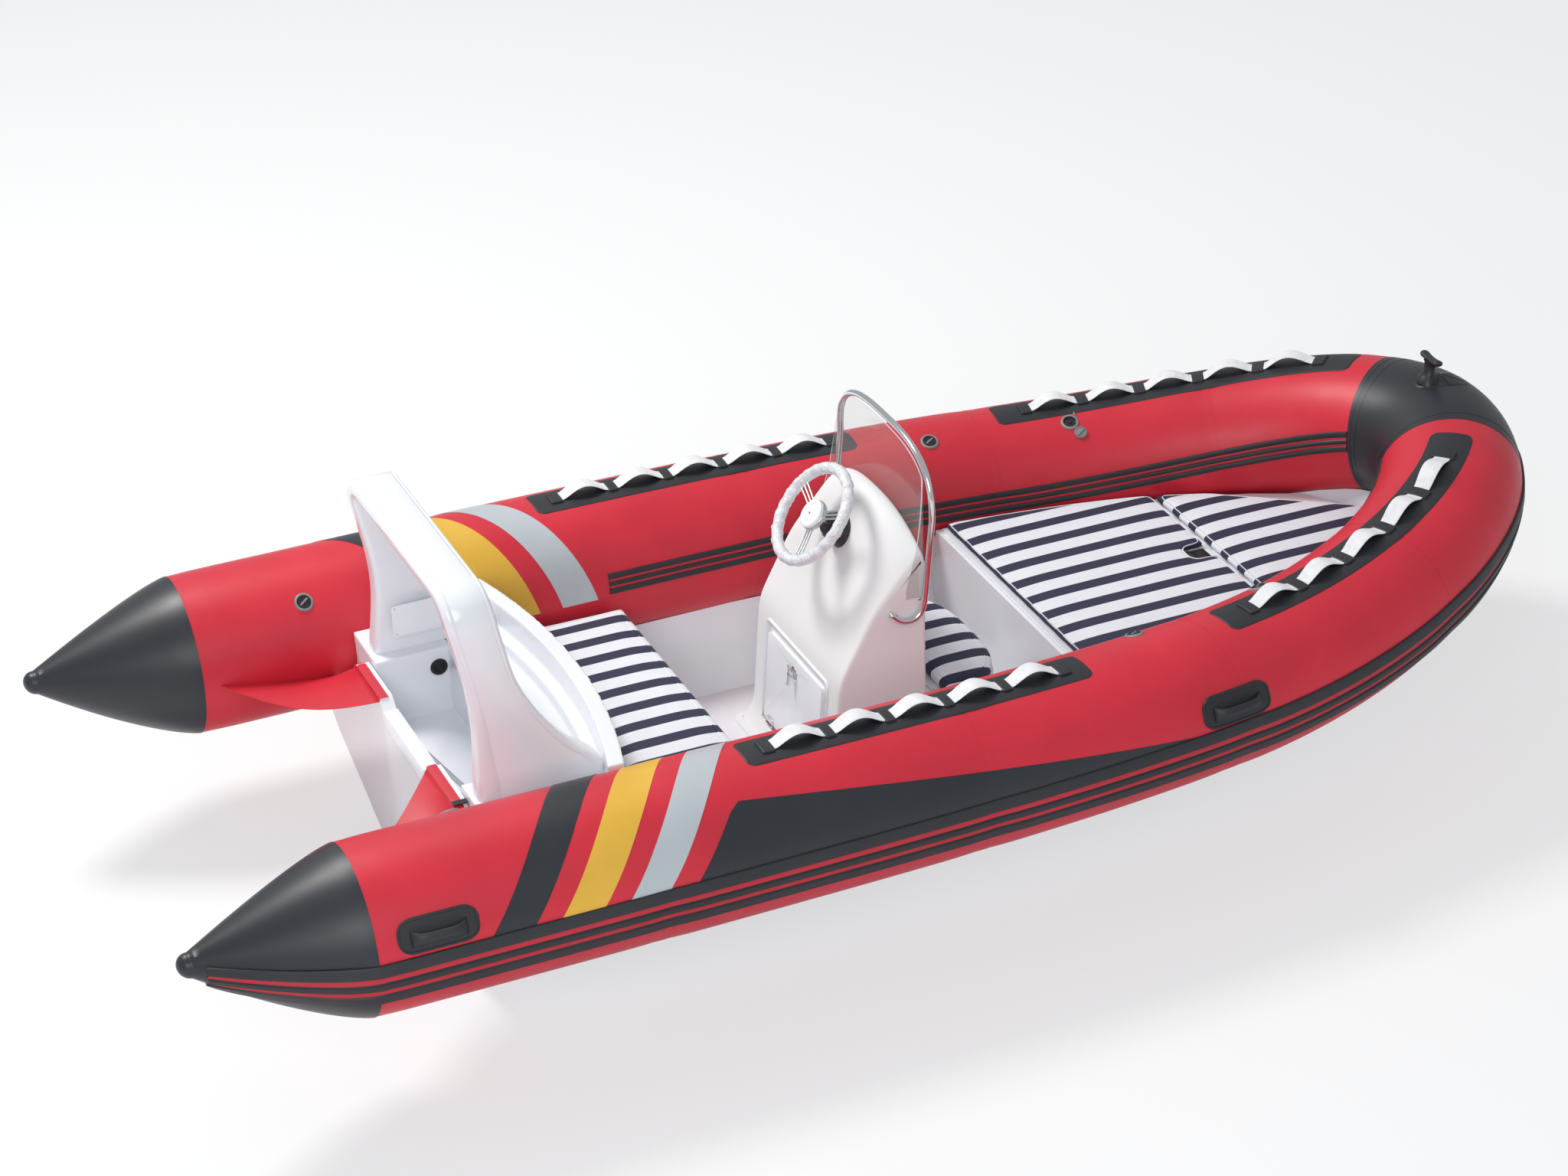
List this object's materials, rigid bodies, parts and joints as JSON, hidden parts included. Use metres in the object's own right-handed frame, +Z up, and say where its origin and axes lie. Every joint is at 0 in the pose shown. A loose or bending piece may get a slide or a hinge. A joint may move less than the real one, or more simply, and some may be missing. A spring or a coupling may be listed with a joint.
{
  "type": "rigid inflatable boat",
  "caption": "Open inflatable dinghy with a rigid V hull, two air tubes joined at the bow, a stern arch, seats with lockers, a steering console and a cushioned bow deck.",
  "frame": {"origin": "under the middle of the boat's length, on the centreline, at the level of the keel pad it stands on", "axes": "+X to the bow, +Y to port, +Z up"},
  "size_m": [5.2101, 2.47, 1.451],
  "materials": {
    "red_tube_fabric": "satin coated fabric",
    "black_tube_fabric": "satin coated fabric",
    "black_rubber": "matt moulded rubber",
    "white_webbing": "woven",
    "gelcoat": "glossy white gelcoat",
    "striped_vinyl": "vinyl with navy and white stripes",
    "stainless": "polished",
    "acrylic": "tinted clear sheet",
    "grey_plastic": "matt",
    "black_plastic": "satin",
    "white_wrap": "wrapped rim"
  },
  "bodies": {
    "boat": {"tube_port": "red_tube_fabric", "tube_starboard": "red_tube_fabric", "transom_flap_port": "red_tube_fabric", "transom_flap_starboard": "red_tube_fabric", "tube_bow": "black_tube_fabric", "tail_cone_port": "black_tube_fabric", "tail_cone_starboard": "black_tube_fabric", "rub_strake": "black_rubber", "inner_strake_port": "black_rubber", "inner_strake_starboard": "black_rubber", "grab_patch_port_aft": "black_rubber", "grab_patch_port_forward": "black_rubber", "grab_patch_starboard_aft": "black_rubber", "grab_patch_starboard_forward": "black_rubber", "lift_handle_port_aft": "black_rubber", "lift_handle_port_forward": "black_rubber", "lift_handle_starboard_aft": "black_rubber", "lift_handle_starboard_forward": "black_rubber", "grab_webbing_port_aft": "white_webbing", "grab_webbing_port_forward": "white_webbing", "grab_webbing_starboard_aft": "white_webbing", "grab_webbing_starboard_forward": "white_webbing", "valve_port_aft": "grey_plastic", "valve_port_middle": "grey_plastic", "valve_port_forward": "grey_plastic", "valve_starboard_aft": "grey_plastic", "valve_starboard_middle": "grey_plastic", "valve_starboard_forward": "grey_plastic", "hull_shell": "gelcoat", "deck_liner": "gelcoat", "transom": "gelcoat", "transom_cap": "gelcoat", "splash_well": "gelcoat", "seat_back": "gelcoat", "stern_arch": "gelcoat", "arch_cover_plate": "gelcoat", "rear_locker": "gelcoat", "console_shell": "gelcoat", "console_seat_base": "gelcoat", "sundeck_moulding": "gelcoat", "bow_bulkhead": "gelcoat", "forward_deck_cushion": "striped_vinyl", "steering_link_rod": "stainless", "windscreen_rail": "stainless", "dash_bezel": "black_plastic", "helm_unit": "black_plastic", "mooring_fitting": "black_plastic", "windscreen": "acrylic"},
    "wheel": {"wheel_rim": "white_wrap", "wheel_hub": "stainless"},
    "console_door": {"console_door": "gelcoat", "door_hinge": "stainless"},
    "door_latch": {"door_latch": "stainless"},
    "rear_lid": {"rear_seat_lid": "gelcoat", "rear_cushion": "striped_vinyl"},
    "console_lid": {"console_seat_lid": "gelcoat", "console_seat_cushion": "striped_vinyl"},
    "hatch": {"hatch_lid": "gelcoat", "aft_deck_cushion": "striped_vinyl"},
    "hatch_latch": {"hatch_latch": "black_plastic"}
  },
  "joints": [
    {"name": "steering", "type": "hinge", "parent": "boat", "child": "wheel", "pos_m": [-0.07812, 0, 1.13328], "axis": [-0.766, 0, 0.6428], "range_deg": [-630, 630]},
    {"name": "door_swing", "type": "hinge", "parent": "boat", "child": "console_door", "pos_m": [-0.19759, 0, 0.25353], "axis": [0, -1, 0], "range_deg": [0, 90]},
    {"name": "door_latch_turn", "type": "hinge", "parent": "console_door", "child": "door_latch", "pos_m": [-0.15612, 0, 0.53901], "axis": [-0.9962, 0, 0.0867], "range_deg": [0, 90]},
    {"name": "rear_lid_swing", "type": "hinge", "parent": "boat", "child": "rear_lid", "pos_m": [-0.57065, 0, 0.5292], "axis": [0, 1, 0], "range_deg": [0, 80]},
    {"name": "console_lid_swing", "type": "hinge", "parent": "boat", "child": "console_lid", "pos_m": [0.23735, 0, 0.4972], "axis": [0, -1, 0], "range_deg": [0, 78]},
    {"name": "hatch_swing", "type": "hinge", "parent": "boat", "child": "hatch", "pos_m": [0.67665, 0, 0.6047], "axis": [0, -1, 0], "range_deg": [0, 85]},
    {"name": "hatch_latch_lift", "type": "hinge", "parent": "hatch", "child": "hatch_latch", "pos_m": [1.37569, 0, 0.614], "axis": [0, -1, 0], "range_deg": [0, 35]}
  ]
}
